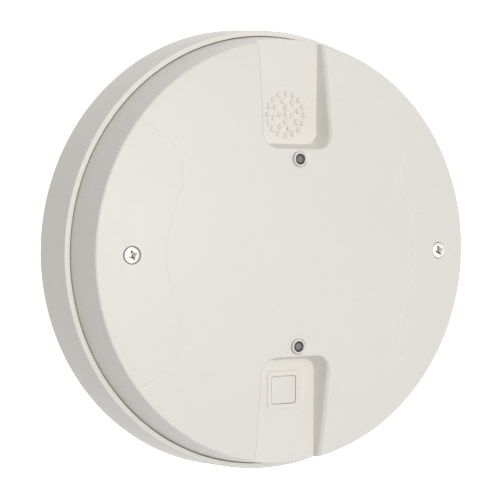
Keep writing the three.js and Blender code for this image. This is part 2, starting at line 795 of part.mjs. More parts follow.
function piezoDisc() {
  const back = SOUNDER_FRONT - 2.6 + GAP;
  const plate = rod(12.7, back, back + 0.4, 0, WINDOW_CENTRE, 32);
  const ceramic = rod(8.5, back + 0.3, back + 0.8, 0, WINDOW_CENTRE, 28);
  return piece("piezo_disc", plate.add(ceramic), BRASS);
}

function sounderSeal() {
  const [back, front] = [SOUNDER_FRONT + GAP, RIM_DEPTH + CHANNEL_FLOOR_HEIGHT - COVER_WALL - 0.3];
  const profile = [
    [12.2, back],
    [14.4, back],
    [14.4, front],
    [12.2, front],
  ];
  return piece("sounder_seal", turned(profile, 0, WINDOW_CENTRE, 32), FOAM);
}

function sounderLead(name, side, look) {
  const route = [
    [5, 14.5, 44.2],
    [5.6, 14.2, 42.6],
    [7, 12.4, 39.6],
    [7.8, 9.9, 38],
  ].map(([x, depth, z]) => [side * x, depth, z]);
  return piece(name, wire(route, 0.5, 8, 4), look);
}

// ---------- assembly ----------

function baseAssembly() {
  const group = new THREE.Group();
  group.add(rearBase(), coverGasket(), cableGrommet(), mainBoard());
  BOARD_SCREWS.forEach((place, i) => group.add(boardScrew(`board_screw_${i + 1}`, place)));
  group.add(piece("controller_chip", onBoard(10, 10, 1.5, -8, 12), BLACK_PLASTIC));
  group.add(radioModule(), radioAntenna());
  group.add(capacitor("reservoir_capacitor", 6.3, 15.5, 19, -23));
  group.add(capacitor("filter_capacitor", 4, 10.5, 5, -24));
  group.add(boostTransformer(), terminalBlock());
  group.add(indicatorLed("indicator_led_upper", 1), indicatorLed("indicator_led_lower", -1));
  group.add(...learnButton(), ...tamperSwitch());
  group.add(sounderCase(), piezoDisc(), sounderSeal());
  group.add(sounderLead("sounder_lead_red", 1, RED_LEAD));
  group.add(sounderLead("sounder_lead_black", -1, BLACK_LEAD));
  return group;
}

function batteries() {
  const group = new THREE.Group();
  for (const [label, side] of [["left", -1], ["right", 1]]) {
    group.add(batteryHolder(`battery_holder_${label}`, side));
    group.add(contactStrip(`contact_strip_${label}_upper`, side, 1));
    group.add(contactStrip(`contact_strip_${label}_lower`, side, -1));
    group.add(batteryLead(`battery_lead_${label}_red`, side, 1, RED_LEAD));
    group.add(batteryLead(`battery_lead_${label}_black`, side, -1, BLACK_LEAD));
    group.add(cell(`battery_${label}_inner`, side * (HOLDER_X - CELL_OFFSET), 1));
    group.add(cell(`battery_${label}_outer`, side * (HOLDER_X + CELL_OFFSET), -1));
  }
  return group;
}

function coverAssembly() {
  const group = new THREE.Group();
  group.add(frontCover(), windowMembrane(), badgePlate());
  group.add(lens("lens_upper", 1), lens("lens_lower", -1));
  for (const [label, side] of [["left", -1], ["right", 1]]) {
    group.add(coverScrew(`cover_screw_${label}`, side));
    group.add(screwSeal(`screw_seal_${label}`, side));
  }
  return group;
}

const siren = new THREE.Group();
siren.add(baseAssembly(), batteries(), coverAssembly());

export default siren;
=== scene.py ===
"""Looks of a round wall-mounted alarm siren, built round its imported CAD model.

Shapes are worked out in millimetres in the frame of the CAD: x to the right, z up, and depth or
height forwards, along -Y. Depth is measured from the wall plane and height from the rim plane of
the base.
"""

import json
import math

import bmesh
import bpy
import numpy as np
from mathutils import Matrix, Vector
from mathutils.geometry import delaunay_2d_cdt

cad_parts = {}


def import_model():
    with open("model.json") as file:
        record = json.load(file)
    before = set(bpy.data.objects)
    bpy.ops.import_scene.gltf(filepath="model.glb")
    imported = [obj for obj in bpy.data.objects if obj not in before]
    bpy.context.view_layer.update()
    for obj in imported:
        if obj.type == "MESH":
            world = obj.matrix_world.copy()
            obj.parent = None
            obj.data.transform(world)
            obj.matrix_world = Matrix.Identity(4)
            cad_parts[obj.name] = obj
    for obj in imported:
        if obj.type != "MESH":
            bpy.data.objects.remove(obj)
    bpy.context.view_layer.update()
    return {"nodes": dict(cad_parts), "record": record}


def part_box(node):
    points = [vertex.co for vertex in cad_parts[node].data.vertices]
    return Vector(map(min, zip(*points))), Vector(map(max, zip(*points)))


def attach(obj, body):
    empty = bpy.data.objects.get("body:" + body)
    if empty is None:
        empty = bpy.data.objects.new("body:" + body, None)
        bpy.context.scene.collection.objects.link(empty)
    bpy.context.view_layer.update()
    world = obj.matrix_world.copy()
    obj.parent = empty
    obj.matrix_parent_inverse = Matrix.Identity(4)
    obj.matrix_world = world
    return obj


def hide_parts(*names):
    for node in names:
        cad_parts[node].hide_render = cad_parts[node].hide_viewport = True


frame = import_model()
MM = 0.001


def span(node, axis):
    """Lowest and highest coordinate of a CAD node along x, y or z, in millimetres."""
    low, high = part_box(node)
    return low["xyz".index(axis)] / MM, high["xyz".index(axis)] / MM


def middle(node, axis):
    """Middle of a CAD node along x, y or z, in millimetres."""
    return sum(span(node, axis)) / 2


# ---------- driving dimensions, millimetres ----------

BASE_RADIUS = span("rear_base", "x")[1]
RIM_RADIUS = 95
SKIRT_END = -3.2  # height of the back end of the cover's skirt
SKIRT_EDGE = 0.3  # bevel round that end
RIM_DEPTH = -span("front_cover", "y")[1] - SKIRT_END
RIM_INNER_RADIUS = 92.7
BASE_INNER_RADIUS = 88.6
LEDGE_DEPTH = 17.3
FLOOR = 2.8
SKIRT_RADIUS = span("front_cover", "x")[1]
WALL = 2.4
FACE_RADIUS = 89.6
FACE_HEIGHT = 19
FACE_CROWN = 8.8
FACE_EDGE = 0.7  # rounding of the face's edge
CHANNEL_FLOOR = 14.1
CHANNEL_HALF_WIDTH = 15
CHANNEL_TIP = 46
CHANNEL_CORNER = 5
CHANNEL_DRAFT = 0.1  # outwards per unit of height, along the sides
CHANNEL_TIP_DRAFT = 0.2  # and at the tip
CHANNEL_CREST = 0.3  # rounding of the channel's upper edge
CHAMFER_WIDTH = 1.05  # between the channel's side walls and the face
CHAMFER_DEPTH = 1.3
CHAMFER_ROUNDING = 0.1  # where it meets the wall
CHANNEL_FILLET = 0.25  # where the channel's wall meets its floor
INNER_ROUNDING = 0.4  # of every corner on the cover's inside
SCREW_X = middle("cover_screw_right", "x")
SCREW_SEAT = 41.9 - RIM_DEPTH  # height of the floor of the screw's recess
SCREW_RECESS_RADIUS = 3.7  # 3.9 in the CAD
SCREW_AREA = 5  # radius that the rows round a screw start from
SCREW_HOLE = 2.1
SCREW_HEAD_RADIUS = 3.4  # 3.6 in the CAD
SCREW_CORE = 1.35
SCREW_CREST = 1.74
SCREW_PITCH = 1.25
SCREW_THREAD = 15  # length
SCREW_TURN = 0.35  # of the cross, radians
CROSS_DEPTH = 2.3
CROSS_FOOT = (0.5, 1.7)  # width and length of an arm at the bottom of the cross
CROSS_MOUTH = (0.95, 4.8)  # and at its mouth
CROSS_REACH = 0.6  # of the mouth in front of the head
CROSS_DIMPLE = (1.5, 2.6)  # radius and depth
BOSS_RADIUS = 5
BOSS_END = 24.6 - RIM_DEPTH
LENS_Z = middle("lens_upper", "z")
LENS_RADIUS = 2.1
LENS_FLANGE_RADIUS = 2.7
COLLAR_RADIUS = 3.1
COLLAR_HEIGHT = 0.8
COLLAR_GROOVE = 0.9  # depth of the groove round the collar
COLLAR_FOOT = 0.6  # width that the groove takes up
SLEEVE_LENGTH = 3.2  # behind the cover's inner skin
LENS_HOLE = LENS_RADIUS + 0.2
LENS_FLANGE_THICKNESS = 1
LENS_SPREAD = 2.2  # radius that the lens's painted light and edge shade are spread over
WINDOW_Z = middle("window_membrane", "z")
POCKET_RADIUS = 11.2
POCKET_FLOOR = 1  # thickness of the channel's floor inside the pocket
PIP_RINGS = ((0, 1, 0), (3.05, 4, 0), (6, 8, 30), (8.9, 16, 0))  # radius, count, turn
PIP_RADIUS = 1.1
PIP_HEIGHT = 0.8
PIP_HOLE = 0.15
BADGE_Z = middle("badge_plate", "z")
BADGE_FRAME = (15.8, 16.2, 1.5, 0.35)  # width, height, corner, rise
BADGE_GAP = 0.18  # round the plate, 0.35 in the CAD
BADGE_DEPTH = 0.9  # of the recess that holds the plate
BADGE_SIZE = 2 * span("badge_plate", "x")[1]
BADGE_CORNER = 1.0
POST = (middle("tamper_plunger", "x"), middle("tamper_plunger", "z"))
POST_RADIUS = 3
POST_END = -span("tamper_plunger", "y")[0] + 0.3 - RIM_DEPTH  # clear of the plunger by 0.3
KEYHOLES = ((-50, 50), (50, 50), (-44, -60), (44, -60))
KEYHOLE_RADIUS = 4
KEYHOLE_SLOT = (4.8, 14)  # width and length
KEYHOLE_PAD = 10  # radius of the land round a keyhole
KEYHOLE_PAD_RISE = 3  # of that land's middle above the keyhole's
CABLE_Z = middle("cable_grommet", "z")
CABLE_RADIUS = 8
CABLE_FLANGE_RADIUS = 10.3
CABLE_PAD = 13
BACK_POCKET = (34, 90, 1.2)  # inner radius, outer radius and depth
BACK_RIBS = 4  # each right across the pocket
BACK_RIB_WIDTH = 3
SEAM_DEPTH = 0.16
SEAM_WIDTH = 0.34  # distance from its middle at which a little over a third of the depth is left
SEAM_FADE = 1.5  # length over which a seam dies out at the face's edge
SHARP_ANGLE = math.radians(32)  # edges sharper than this are not smoothed
BEVEL = 0.25  # of the edges of the CAD's nodes
BEVEL_SHARE = 0.08  # of a node's smallest side, where that is less
BEVEL_ANGLE = math.radians(40)  # edges sharper than this get it

# ---------- how finely things are divided, millimetres where it is a distance ----------

ROUND = 288  # stations round the casing
SCREW_STATIONS, LENS_STATIONS, PIP_STATIONS = 48, 40, 14
SEARCH_LOWEST = -40.0  # where the search for a height starts
HALVINGS = 34  # in that search
SPAN_STEPS = 5  # points for each span of a smooth curve
ROW_MARGIN = 0.05  # between a channel's row and the rim or a feature
FEATURE_MARGIN = 0.7  # between scattered points and the rows of a feature
CHANNEL_MARGIN = 0.8  # and those of a channel
SEAM_MARGIN = 1.8  # and the middle of a seam
OUTER_SCATTER, INNER_SCATTER = 3.4, 5.0  # spacing of scattered points


# ---------- height of the cover ----------


def round_max(a, b, r):
    """The larger of two distances, with the corner between them rounded by r."""
    corner = np.hypot(np.maximum(a + r, 0), np.maximum(b + r, 0))
    return np.minimum(-r, np.maximum(a, b)) + corner


def dome(radius):
    """Height of the face at a distance from its middle."""
    return FACE_HEIGHT + FACE_CROWN * (1 - (radius / FACE_RADIUS) ** 2)


SLEEVE_HEIGHT = dome(LENS_Z) - WALL - SLEEVE_LENGTH  # of the end of the lens's sleeve


def channel_place(x, z):
    """Distance in plan from the outline of the nearer channel's floor, negative inside it, and
    how far the nearest wall is a side wall: 1 along the sides, 0 at the tip."""
    right = np.abs(x) - (CHANNEL_HALF_WIDTH - CHANNEL_CORNER)
    inward = (CHANNEL_TIP + CHANNEL_CORNER) - np.abs(z)
    beyond = np.hypot(np.maximum(right, 0), np.maximum(inward, 0))
    distance = beyond + np.minimum(np.maximum(right, inward), 0) - CHANNEL_CORNER
    side_share = (np.maximum(right, 0) / np.maximum(beyond, 0.01)) ** 2
    return distance, side_share


def inside_cover(x, z, height, inset, edge, lip, fillet):
    """Signed distance from the cover's skin, moved inwards by inset. Negative is inside."""
    outline, side_share = channel_place(x, z)
    draft = CHANNEL_TIP_DRAFT + side_share * (CHANNEL_DRAFT - CHANNEL_TIP_DRAFT)
    radius = np.hypot(x, z)
    face = dome(radius)
    taper = (SKIRT_RADIUS - FACE_RADIUS) / FACE_HEIGHT
    side = (radius - SKIRT_RADIUS + taper * height) / math.hypot(1, taper)
    walls = (outline - draft * (height - CHANNEL_FLOOR)) / np.hypot(1, draft)
    channel = round_max(CHANNEL_FLOOR - height, walls, fillet)
    slope = CHAMFER_WIDTH / CHAMFER_DEPTH
    chamfer = outline - draft * (face - CHANNEL_FLOOR) - CHAMFER_WIDTH * side_share
    chamfer = (chamfer + slope * (face - height)) / math.hypot(1, slope)
    chamfer = np.maximum(chamfer, CHANNEL_FLOOR - height)
    channel = -round_max(-channel, -chamfer, CHAMFER_ROUNDING)
    return round_max(round_max(height - face, side, edge), -channel, lip) + inset


def skin_height(x, z, inset=0.0, edge=FACE_EDGE, lip=CHANNEL_CREST, fillet=CHANNEL_FILLET):
    """Height of the cover's skin at points in plan, by halving."""
    low = np.full(len(x), SEARCH_LOWEST)
    high = np.full(len(x), FACE_HEIGHT + FACE_CROWN + 1.0)
    for _ in range(HALVINGS):
        half = (low + high) / 2
        solid = inside_cover(x, z, half, inset, edge, lip, fillet) < 0
        low = np.where(solid, half, low)
        high = np.where(solid, high, half)
    return (low + high) / 2


# The seams on the left and right of the face: a quarter of one, mirrored both ways.
SEAM = ((60.4, 0), (59.5, 8), (57.4, 16), (54.8, 24), (53.0, 30), (52.7, 36), (54.2, 41.6))
SEAM += ((57.4, 46.2), (62.0, 49.9), (66.5, 52.7), (69.4, 54.6))
SEAM_AREA = (50, 72, 57)  # x from, x to and z up to, a little round the seam
SEAM_ROWS = (-0.9, -0.55, -0.3, -0.12, 0, 0.12, 0.3, 0.55, 0.9)  # distances from its middle


def through(points):
    """A smooth curve (Catmull-Rom) through points."""
    p = np.array(points, float)
    p = np.vstack([2 * p[0] - p[1], p, 2 * p[-1] - p[-2]])
    made = []
    for a, b, c, d in zip(p, p[1:], p[2:], p[3:]):
        for t in np.arange(SPAN_STEPS) / SPAN_STEPS:
            cubic = (2 * a - 5 * b + 4 * c - d) * t * t + (3 * b - a - 3 * c + d) * t**3
            made.append((2 * b + (c - a) * t + cubic) / 2)
    return np.array(made + [p[-2]])


def seam_curve():
    """One whole seam on the right, from its lower end to its upper one. The curve starts a point
    early, mirrored, so that it runs smoothly across the middle."""
    x, z = SEAM[1]
    quarter = through(((x, -z),) + SEAM)[SPAN_STEPS:]
    mirrored = quarter[:0:-1] * (1, -1)
    return np.vstack([mirrored, quarter])


def seam_drop(x, z):
    """Depth of the seam's groove at points in plan."""
    line = seam_curve()
    drop = np.zeros(len(x))
    first, last, end = SEAM_AREA
    near = np.nonzero((np.abs(x) > first) & (np.abs(x) < last) & (np.abs(z) < end))[0]
    px, pz = np.abs(x[near])[:, None], z[near][:, None]
    ax, az = line[:-1, 0], line[:-1, 1]
    dx, dz = np.diff(line[:, 0]), np.diff(line[:, 1])
    along = np.clip(((px - ax) * dx + (pz - az) * dz) / (dx * dx + dz * dz), 0, 1)
    distance = np.hypot(px - ax - along * dx, pz - az - along * dz).min(axis=1)
    fade = np.clip((FACE_RADIUS - np.hypot(x[near], z[near])) / SEAM_FADE, 0, 1)
    drop[near] = SEAM_DEPTH * fade * np.exp(-((distance / SEAM_WIDTH) ** 2))
    return drop


def outer_height(x, z):
    """Height of the cover's outside, with its seams and the badge's frame."""
    height = skin_height(x, z) - seam_drop(x, z)
    width, tall, _, rise = BADGE_FRAME
    in_frame = (np.abs(x) < width / 2) & (np.abs(z - BADGE_Z) < tall / 2)
    return np.where(in_frame, CHANNEL_FLOOR + rise, height)


def plain_inner_height(x, z):
    """Height of the cover's inside without the pocket: the skin, one wall thickness inwards."""
    return skin_height(x, z, WALL, INNER_ROUNDING, INNER_ROUNDING, INNER_ROUNDING)


def inner_height(x, z):
    """Height of the cover's inside, with the pocket behind the sound window."""
    height = plain_inner_height(x, z)
    in_pocket = np.hypot(x, z - WINDOW_Z) < POCKET_RADIUS + 0.01
    return np.where(in_pocket, CHANNEL_FLOOR - POCKET_FLOOR, height)


# ---------- a surface over a plan ----------


def circle(x, z, radius, stations):
    """Points round a circle in plan."""
    angle = 2 * np.pi * np.arange(stations) / stations
    return np.column_stack([x + radius * np.cos(angle), z + radius * np.sin(angle)])


class Sheet:
    """Rows of points in plan that become one surface, with a height for each point."""

    def __init__(self, height):
        self.height = height
        self.points, self.heights, self.edges = [], [], []
        self.count = 0

    def row(self, points, heights=None, closed=True):
        """Joins points in plan. Heights default to the surface's own. Returns their numbers."""
        numbers = np.arange(self.count, self.count + len(points))
        self.points.append(points)
        given = np.nan if heights is None else heights
        self.heights.append(np.broadcast_to(np.asarray(given, float), len(points)))
        ends = numbers if closed else numbers[:-1]
        nexts = np.roll(numbers, -1) if closed else numbers[1:]
        self.edges += [(int(a), int(b)) for a, b in zip(ends, nexts)]
        self.count += len(points)
        return numbers

    def open_row(self, points, clear):
        """A row that leaves out the points where clear is False, and the edges to them."""
        run = []
        for point, keep in zip(points, clear):
            if keep:
                run.append(point)
            if run and not keep:
                self.row(np.array(run), closed=False)
                run = []
        if run:
            self.row(np.array(run), closed=False)

    def scatter(self, points):
        """Adds points that no edge joins."""
        self.points.append(points)
        self.heights.append(np.full(len(points), np.nan))
        self.count += len(points)

    def built(self, holes):
        """Vertices, triangles and the vertex of each input point. A hole is (x, z, radius,
        stations)."""
        points = np.vstack(self.points)
        given = np.concatenate(self.heights)
        flat = [Vector(p) for p in points.tolist()]
        found = delaunay_2d_cdt(flat, self.edges, [], 0, 1e-5)
        plan = np.array([tuple(v) for v in found[0]])
        triangles = np.array(found[2])
        vertex_of = np.zeros(self.count, int)
        height = self.height(plan[:, 0], plan[:, 1])
        for vertex, sources in enumerate(found[3]):
            for source in sources:
                vertex_of[source] = vertex
                if not math.isnan(given[source]):
                    height[vertex] = given[source]
        centre = plan[triangles].mean(axis=1)
        keep = np.ones(len(triangles), bool)
        for x, z, radius, stations in holes:
            inner = radius * math.cos(math.pi / stations)
            keep &= np.hypot(centre[:, 0] - x, centre[:, 1] - z) > inner
        vertices = np.column_stack([plan[:, 0], -(RIM_DEPTH + height), plan[:, 1]])
        return vertices, triangles[keep], vertex_of


def channel_row(distance, step=1.6, arc=12):
    """The upper channel's outline moved outwards by a distance, from rim to rim."""
    half, centre_z = CHANNEL_HALF_WIDTH - CHANNEL_CORNER, CHANNEL_TIP + CHANNEL_CORNER
    radius = CHANNEL_CORNER + distance
    side_z = np.linspace(SKIRT_RADIUS, centre_z, int((SKIRT_RADIUS - centre_z) / step))
    left = np.column_stack([np.full(len(side_z), -half - radius), side_z])
    turn = np.linspace(0, math.pi / 2, arc + 1)[1:]
    corner = np.column_stack([-half - radius * np.cos(turn), centre_z - radius * np.sin(turn)])
    flat_x = np.linspace(-half, 0, int(half / step) + 1)[1:]
    tip = np.column_stack([flat_x, np.full(len(flat_x), centre_z - radius)])
    first = np.vstack([left, corner, tip])
    return np.vstack([first, first[-2::-1] * (-1, 1)])


def sunflower(radius, spacing):
    """Points spread evenly over a disc."""
    count = int(math.pi * radius**2 / spacing**2)
    n = np.arange(count) + 0.5
    r, angle = radius * np.sqrt(n / count), n * math.pi * (3 - math.sqrt(5))
    return np.column_stack([r * np.cos(angle), r * np.sin(angle)])


def pip_places():
    """Middles of the pips in plan."""
    for radius, count, turn in PIP_RINGS:
        for i in range(count):
            angle = math.radians(turn + 360 * i / count)
            yield radius * math.sin(angle), WINDOW_Z + radius * math.cos(angle)


def rounded_outline(width, tall, corner, grow=0.0, x=0.0, z=0.0, arc=5):
    """A rounded rectangle in plan, grown outwards."""
    made = []
    for quarter, (sx, sz) in enumerate(((1, 1), (-1, 1), (-1, -1), (1, -1))):
        for angle in np.linspace(quarter, quarter + 1, arc + 1) * math.pi / 2:
            reach = corner + grow
            made.append(
                (
                    x + sx * (width / 2 - corner) + reach * math.cos(angle),
                    z + sz * (tall / 2 - corner) + reach * math.sin(angle),
                )
            )
    return np.array(made)


def badge_outline(grow):
    """The badge plate's outline, grown outwards."""
    return rounded_outline(BADGE_SIZE, BADGE_SIZE, BADGE_CORNER, grow, 0, BADGE_Z)


def common_rows(sheet, rim_radii, distances, scatter, features, seams=False):
    """The rows and points that both skins of the cover are built from: rings near the rim, rows
    along the channels, seams if asked for, and scattered points clear of them and of the features,
    which are (x, z, radius)."""
    for radius in rim_radii:
        sheet.row(circle(0, 0, radius, ROUND))
    edge = min(rim_radii)

    def clear_of(points, margin):
        """Which points are further than the margin from every feature."""
        clear = np.ones(len(points), bool)
        for x, z, radius in features:
            clear &= np.hypot(points[:, 0] - x, points[:, 1] - z) > radius + margin
        return clear

    for distance in distances:
        row = channel_row(distance)
        for turned in (row, row * (1, -1)):
            inside = np.hypot(turned[:, 0], turned[:, 1]) < max(rim_radii) - ROW_MARGIN
            sheet.open_row(turned, inside & clear_of(turned, ROW_MARGIN))
    if seams:
        line = seam_curve()
        along = np.gradient(line, axis=0)
        normal = np.column_stack([along[:, 1], -along[:, 0]])
        normal /= np.linalg.norm(normal, axis=1)[:, None]
        for offset in SEAM_ROWS:
            moved = line + offset * normal
            for side in (1, -1):
                sheet.row(moved * (side, 1), closed=False)
    points = sunflower(edge - 0.6, scatter)
    distance = channel_place(points[:, 0], points[:, 1])[0]
    clear = clear_of(points, FEATURE_MARGIN)
    first, last = min(distances) - CHANNEL_MARGIN, max(distances) + CHANNEL_MARGIN
    clear &= (distance < first) | (distance > last)
    if seams:
        px, pz = np.abs(points[:, 0])[:, None], points[:, 1][:, None]
        clear &= np.hypot(px - line[:, 0], pz - line[:, 1]).min(axis=1) > SEAM_MARGIN
    sheet.scatter(points[clear])


def screw_recess(sheet, x):
    """A round recess for a screw head, down to the ring that its hole starts from."""
    lip = ((0.2, 0), (0.1, 0.02), (0.03, 0.08), (0, 0.2))  # beyond the recess, below the face
    rows = [(SCREW_AREA, 0)] + [(SCREW_RECESS_RADIUS + beyond, drop) for beyond, drop in lip]
    for radius, drop in rows:
        points = circle(x, 0, radius, SCREW_STATIONS)
        sheet.row(points, outer_height(points[:, 0], points[:, 1]) - drop)
    for inwards, rise in ((0.05, 0.15), (0.2, 0)):
        points = circle(x, 0, SCREW_RECESS_RADIUS - inwards, SCREW_STATIONS)
        sheet.row(points, SCREW_SEAT + rise)
    return sheet.row(circle(x, 0, SCREW_HOLE, SCREW_STATIONS), SCREW_SEAT)


def lens_collar(sheet, z):
    """A raised round collar in a groove, up to the ring that the lens's hole starts from."""
    points = circle(0, z, COLLAR_RADIUS + COLLAR_FOOT, LENS_STATIONS)
    around = outer_height(points[:, 0], points[:, 1])
    sheet.row(points, around)
    for gap, drop in ((0.5, 0.05), (0.46, COLLAR_GROOVE), (0.05, COLLAR_GROOVE)):
        sheet.row(circle(0, z, COLLAR_RADIUS + gap, LENS_STATIONS), around - drop)
    top = dome(LENS_Z) + COLLAR_HEIGHT
    profile = ((0, 0.4), (0.05, 0.18), (0.14, 0.06), (0.26, 0), (0.5, 0.02), (0.68, 0.09))
    for inwards, drop in profile:
        sheet.row(circle(0, z, COLLAR_RADIUS - inwards, LENS_STATIONS), top - drop)
    return sheet.row(circle(0, z, LENS_HOLE, LENS_STATIONS), top - 0.25)


def pip(sheet, x, z):
    """A small round stud with a groove at its foot, up to the ring of its pinhole."""
    profile = ((0.34, 0), (0.22, -0.04), (0.12, -0.16), (0.02, -0.1), (-0.06, PIP_HEIGHT - 0.22))
    profile += ((-0.14, PIP_HEIGHT - 0.08), (-0.26, PIP_HEIGHT - 0.01), (-0.6, PIP_HEIGHT))
    for grow, rise in profile:
        sheet.row(circle(x, z, PIP_RADIUS + grow, PIP_STATIONS), CHANNEL_FLOOR + rise)
    top = CHANNEL_FLOOR + PIP_HEIGHT - 0.02
    return sheet.row(circle(x, z, PIP_HOLE, PIP_STATIONS), top)


def badge_recess(sheet):
    """The badge's frame, with a groove at its foot, and the square recess inside it."""
    width, tall, corner, rise = BADGE_FRAME
    steps = ((0.45, 0), (0.3, -0.04), (0.18, -0.16), (0.04, -0.16), (-0.03, rise - 0.1))
    steps += ((-0.12, rise - 0.03), (-0.3, rise))
    for grow, height in steps:
        outline = rounded_outline(width, tall, corner, grow, 0, BADGE_Z)
        sheet.row(outline, CHANNEL_FLOOR + height)
    steps = ((0.28, rise), (0.12, rise - 0.03), (0.03, rise - 0.12), (-0.02, -BADGE_DEPTH))
    for grow, height in steps:
        sheet.row(badge_outline(BADGE_GAP + grow), CHANNEL_FLOOR + height)
    sheet.row(badge_outline(-1.0), CHANNEL_FLOOR - BADGE_DEPTH)


def outer_skin():
    """The cover's visible skin, the rings that its holes start from, and the holes."""
    sheet = Sheet(outer_height)
    rings = {}
    # rings close together where the face's edge turns, then down the side
    rim = [FACE_RADIUS - step for step in (2.6, 1.9, 1.4, 1.05, 0.8, 0.6, 0.42, 0.28, 0.16, 0.07)]
    rim += [FACE_RADIUS + step for step in (0, 0.07, 0.15, 0.25, 0.38, 0.52, 0.66, 0.8, 0.95)]
    rim += [FACE_RADIUS + step for step in (1.12, 1.35, 1.7, 2.2)]
    # rows along the channel's fillet, then up its wall and over its edge
    distances = [-1.6, -1.0, -0.7, -0.5, -0.35, -0.22, -0.12, -0.05, 0.0, 0.06, 0.14]
    distances += list(np.arange(0.26, 2.9, 0.14)) + [3.1, 3.6]
    features = [(side * SCREW_X, 0, SCREW_AREA) for side in (-1, 1)]
    features += [(0, side * LENS_Z, COLLAR_RADIUS + COLLAR_FOOT) for side in (-1, 1)]
    features += [(x, z, PIP_RADIUS + 0.36) for x, z in pip_places()]
    features.append((0, BADGE_Z, BADGE_FRAME[1] / 2 + 3))
    common_rows(sheet, rim, distances, OUTER_SCATTER, features, seams=True)
    rings["rim"] = sheet.row(circle(0, 0, SKIRT_RADIUS, ROUND), 0.0)

    for side in (-1, 1):
        rings["screw", side] = screw_recess(sheet, side * SCREW_X)
        rings["lens", side] = lens_collar(sheet, side * LENS_Z)
    for i, (x, z) in enumerate(pip_places()):
        rings["pip", i] = pip(sheet, x, z)
    badge_recess(sheet)

    holes = [(s * SCREW_X, 0, SCREW_HOLE, SCREW_STATIONS) for s in (-1, 1)]
    holes += [(0, s * LENS_Z, LENS_HOLE, LENS_STATIONS) for s in (-1, 1)]
    holes += [(x, z, PIP_HOLE, PIP_STATIONS) for x, z in pip_places()]
    return sheet.built(holes), rings, holes


def inner_skin(holes):
    """The cover's inside, with its bosses, sleeves, post and pocket."""
    sheet = Sheet(inner_height)
    rings = {}
    inner = SKIRT_RADIUS - WALL
    rim = [FACE_RADIUS - WALL + step for step in (-2.6, -1, -0.3, 0, 0.2, 0.4, 0.8, 1.6, 2.3)]
    distances = (1.5, 2.0, 2.3, 2.5, 2.8, 3.1, 3.4, 3.7, 4.1, 4.8)
    features = [(side * SCREW_X, 0, BOSS_RADIUS + 0.1) for side in (-1, 1)]
    features += [(0, side * LENS_Z, COLLAR_RADIUS + 0.1) for side in (-1, 1)]
    features += [(0, WINDOW_Z, POCKET_RADIUS + 0.1), (*POST, POST_RADIUS + 0.1)]
    common_rows(sheet, rim, distances, INNER_SCATTER, features)
    rings["rim"] = sheet.row(circle(0, 0, inner, ROUND), 0.0)

    def ceiling(points, lowest=math.inf):
        """Height of the cover's inside at points, or the lower height given."""
        return np.minimum(inner_height(points[:, 0], points[:, 1]), lowest)

    def stub(x, z, radius, end, stations):
        """A round post that hangs from the inside of the cover down to a height."""
        points = circle(x, z, radius + 0.08, stations)
        sheet.row(points, ceiling(points))
        points = circle(x, z, radius, stations)
        sheet.row(points, ceiling(points, end))

    for side in (-1, 1):
        x, z = side * SCREW_X, side * LENS_Z
        stub(x, 0, BOSS_RADIUS, BOSS_END, SCREW_STATIONS)
        rings["screw", side] = sheet.row(circle(x, 0, SCREW_HOLE, SCREW_STATIONS), BOSS_END)
        stub(0, z, COLLAR_RADIUS, SLEEVE_HEIGHT, LENS_STATIONS)
        ring = circle(0, z, LENS_HOLE, LENS_STATIONS)
        rings["lens", side] = sheet.row(ring, SLEEVE_HEIGHT)
    stub(*POST, POST_RADIUS, POST_END, 32)
    sheet.row(circle(*POST, POST_RADIUS / 2, 16), POST_END)
    floor = CHANNEL_FLOOR - POCKET_FLOOR
    points = circle(0, WINDOW_Z, POCKET_RADIUS + 0.08, 64)
    sheet.row(points, plain_inner_height(points[:, 0], points[:, 1]))
    sheet.row(circle(0, WINDOW_Z, POCKET_RADIUS, 64), floor)
    for i, (x, z) in enumerate(pip_places()):
        rings["pip", i] = sheet.row(circle(x, z, PIP_HOLE, PIP_STATIONS), floor)
    return sheet.built(holes), rings


# ---------- meshes and objects ----------


def new_object(name, vertices, faces):
    """An object from vertices in millimetres, smooth but for its sharp edges."""
    mesh = bpy.data.meshes.new(name)
    scaled = (np.asarray(vertices, float) * MM).tolist()
    mesh.from_pydata(scaled, [], [list(map(int, f)) for f in faces])
    work = bmesh.new()
    work.from_mesh(mesh)
    bmesh.ops.recalc_face_normals(work, faces=work.faces)
    work.to_mesh(mesh)
    work.free()
    mesh.shade_smooth()
    mesh.set_sharp_from_angle(angle=SHARP_ANGLE)
    made = bpy.data.objects.new(name, mesh)
    bpy.context.scene.collection.objects.link(made)
    return made


def strip(ring_a, ring_b):
    """Quads between two closed rings of as many vertices."""
    count = len(ring_a)
    return [
        (ring_a[i], ring_a[(i + 1) % count], ring_b[(i + 1) % count], ring_b[i])
        for i in range(count)
    ]


def cover_shell():
    """The whole cover as one closed mesh: both skins, the holes between them and the skirt."""
    (out_vertices, out_faces, out_of), out_rings, holes = outer_skin()
    (in_vertices, in_faces, in_of), in_rings = inner_skin(holes)
    offset = len(out_vertices)
    faces = out_faces.tolist() + (in_faces[:, ::-1] + offset).tolist()
    for key, ring in out_rings.items():
        if key != "rim":
            faces += strip(out_of[ring], in_of[in_rings[key]] + offset)
    vertices = np.vstack([out_vertices, in_vertices])
    rows = [out_of[out_rings["rim"]]]
    foot = -(RIM_DEPTH + SKIRT_END)
    inner = SKIRT_RADIUS - WALL
    outer, edge = SKIRT_RADIUS, SKIRT_EDGE
    for radius, lift in ((outer, -edge), (outer - edge, 0), (inner + edge, 0), (inner, -edge)):
        ring = circle(0, 0, radius, ROUND)
        level = np.full(ROUND, foot + lift)
        rows.append(np.arange(len(vertices), len(vertices) + ROUND))
        vertices = np.vstack([vertices, np.column_stack([ring[:, 0], level, ring[:, 1]])])
    rows.append(in_of[in_rings["rim"]] + offset)
    for a, b in zip(rows, rows[1:]):
        faces += strip(a, b)
    return new_object("siren_cover", vertices, faces)


